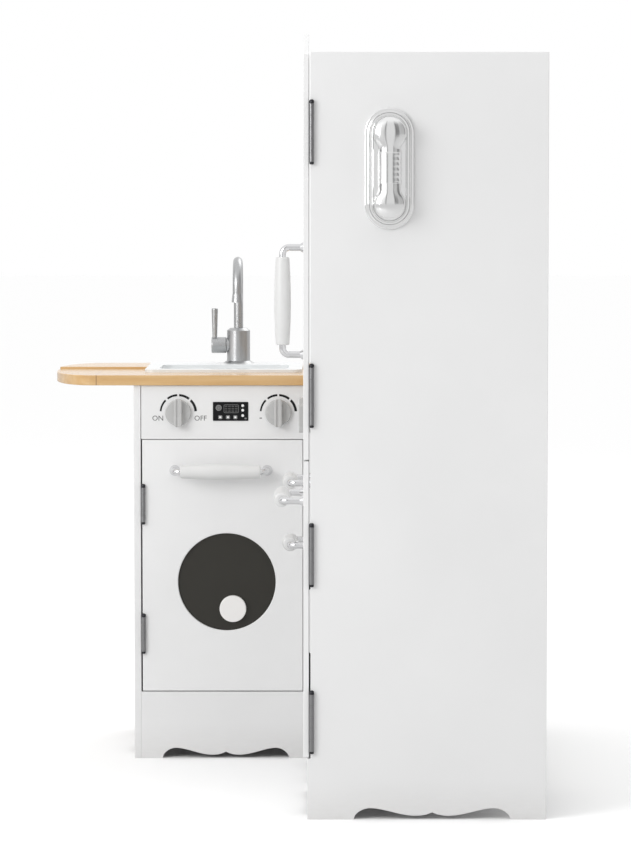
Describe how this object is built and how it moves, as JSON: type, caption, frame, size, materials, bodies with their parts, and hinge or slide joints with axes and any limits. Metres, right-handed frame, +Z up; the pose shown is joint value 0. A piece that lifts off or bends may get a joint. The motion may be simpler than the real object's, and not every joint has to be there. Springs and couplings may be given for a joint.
{
  "type": "toy kitchen",
  "caption": "L-shaped corner toy kitchen: tall fridge with overlay doors and a toy telephone, oven unit with drawer, sink with faucet, washing machine door.",
  "frame": {"origin": "centre of the bounding box, on the floor", "axes": "+Z up; +X from the wing's rounded end to the back of the fridge leg; +Y from the fridge's outer side towards the wing's back wall"},
  "size_m": [0.657, 0.807, 0.987],
  "materials": {
    "white_paint": "satin painted board",
    "door_paint": "satin painted board",
    "wood_top": "light lacquered wood with a plain edge band",
    "sink_white": "glossy white plastic",
    "silver_plastic": "glossy silver-coloured plastic",
    "grey_plastic": "silver-grey moulded plastic",
    "grip_white": "glossy off-white plastic",
    "chrome_bar": "bright chrome",
    "hinge_steel": "dull zinc",
    "pin_dark": "dark steel",
    "drum_dark": "dark smoked plastic",
    "display_black": "glossy black print",
    "window_clear": "clear acrylic",
    "hob_dark": "glossy dark plastic",
    "screw_steel": "zinc"
  },
  "bodies": {
    "kitchen": {"fridge_outer_side": "white_paint", "fridge_inner_side": "white_paint", "fridge_shelf_boards": "white_paint", "leg_front_boards": "white_paint", "wing_skirt": "white_paint", "back_boards": "white_paint", "oven_far_side": "white_paint", "corner_end_board": "white_paint", "wing_outer_side": "white_paint", "wing_inner_side": "white_paint", "cabinet_shelf_boards": "white_paint", "oven_control_panel": "white_paint", "wing_control_panel": "white_paint", "display_panel": "display_black", "worktop_front_board": "wood_top", "worktop_rear_board": "wood_top", "worktop_leg_board": "wood_top", "hob_plate": "hob_dark", "sink_basin": "sink_white", "sink_drain": "silver_plastic", "faucet_body": "silver_plastic", "drawer_guides": "white_paint", "phone_cradle": "silver_plastic", "door_magnets": "grip_white", "hinge_fixed_leaves": "hinge_steel", "hinge_pins": "pin_dark", "assembly_screws": "screw_steel"},
    "fridge_upper_door": {"upper_door_board": "door_paint", "upper_door_handle_bar": "chrome_bar", "upper_door_handle_grip": "grip_white", "upper_door_fittings": "hinge_steel"},
    "fridge_lower_door": {"lower_door_board": "door_paint", "lower_door_handle_bar": "chrome_bar", "lower_door_handle_grip": "grip_white", "lower_door_fittings": "hinge_steel"},
    "oven_door": {"oven_door_board": "door_paint", "oven_window_pane": "window_clear", "oven_door_handle_bar": "chrome_bar", "oven_door_handle_grip": "grip_white", "oven_door_fittings": "hinge_steel"},
    "drawer": {"drawer_front": "door_paint", "drawer_box": "white_paint", "drawer_handle_bar": "chrome_bar", "drawer_handle_grip": "grip_white"},
    "washer_door": {"washer_door_board": "door_paint", "washer_retaining_ring": "white_paint", "washer_door_handle_bar": "chrome_bar", "washer_door_handle_grip": "grip_white", "washer_door_fittings": "hinge_steel"},
    "washer_drum": {"washer_drum_disc": "drum_dark", "washer_finger_knob": "grip_white"},
    "washer_knob_left": {"washer_knob_left": "grey_plastic"},
    "washer_knob_right": {"washer_knob_right": "grey_plastic"},
    "oven_knob_near": {"oven_knob_near": "grey_plastic"},
    "oven_knob_far": {"oven_knob_far": "grey_plastic"},
    "faucet_spout": {"faucet_spout": "silver_plastic"},
    "faucet_lever": {"faucet_lever": "silver_plastic"},
    "phone_handset": {"handset_front_shell": "silver_plastic", "handset_back_shell": "silver_plastic", "handset_grip_band": "silver_plastic"}
  },
  "joints": [
    {"name": "fridge_upper_door_hinge", "type": "hinge", "parent": "kitchen", "child": "fridge_upper_door", "pos_m": [0.034, -0.37656, 0.7], "axis": [0, 0, 1], "range_deg": [0, 105]},
    {"name": "fridge_lower_door_hinge", "type": "hinge", "parent": "kitchen", "child": "fridge_lower_door", "pos_m": [0.034, -0.37656, 0.265], "axis": [0, 0, 1], "range_deg": [0, 105]},
    {"name": "oven_door_hinge", "type": "hinge", "parent": "kitchen", "child": "oven_door", "pos_m": [0.0294, -0.12996, 0.22], "axis": [0, 0, 1], "range_deg": [0, 92]},
    {"name": "drawer_slide", "type": "slide", "parent": "kitchen", "child": "drawer", "axis": [-1, 0, 0], "range_m": [0, 0.15]},
    {"name": "washer_door_hinge", "type": "hinge", "parent": "kitchen", "child": "washer_door", "pos_m": [-0.2, 0.10343, 0.27], "axis": [0, 0, -1], "range_deg": [0, 100]},
    {"name": "washer_drum_spin", "type": "hinge", "parent": "washer_door", "child": "washer_drum", "pos_m": [-0.0843, 0.11184, 0.2468], "axis": [0, -1, 0], "continuous": true},
    {"name": "washer_knob_left_turn", "type": "hinge", "parent": "kitchen", "child": "washer_knob_left", "pos_m": [-0.1514, 0.10654, 0.4824], "axis": [0, -1, 0], "continuous": true},
    {"name": "washer_knob_right_turn", "type": "hinge", "parent": "kitchen", "child": "washer_knob_right", "pos_m": [-0.0128, 0.10654, 0.4824], "axis": [0, -1, 0], "continuous": true},
    {"name": "oven_knob_near_turn", "type": "hinge", "parent": "kitchen", "child": "oven_knob_near", "pos_m": [0.0325, -0.08847, 0.487], "axis": [-1, 0, 0], "continuous": true},
    {"name": "oven_knob_far_turn", "type": "hinge", "parent": "kitchen", "child": "oven_knob_far", "pos_m": [0.0325, 0.06153, 0.487], "axis": [-1, 0, 0], "continuous": true},
    {"name": "faucet_spout_swivel", "type": "hinge", "parent": "kitchen", "child": "faucet_spout", "pos_m": [-0.0735, 0.37154, 0.6], "axis": [0, 0, 1], "range_deg": [-60, 60]},
    {"name": "faucet_lever_turn", "type": "hinge", "parent": "kitchen", "child": "faucet_lever", "pos_m": [-0.1015, 0.37154, 0.565], "axis": [1, 0, 0], "range_deg": [-30, 60]},
    {"name": "handset_lift", "type": "slide", "parent": "kitchen", "child": "phone_handset", "axis": [0, -1, 0], "range_m": [0, 0.2]}
  ]
}
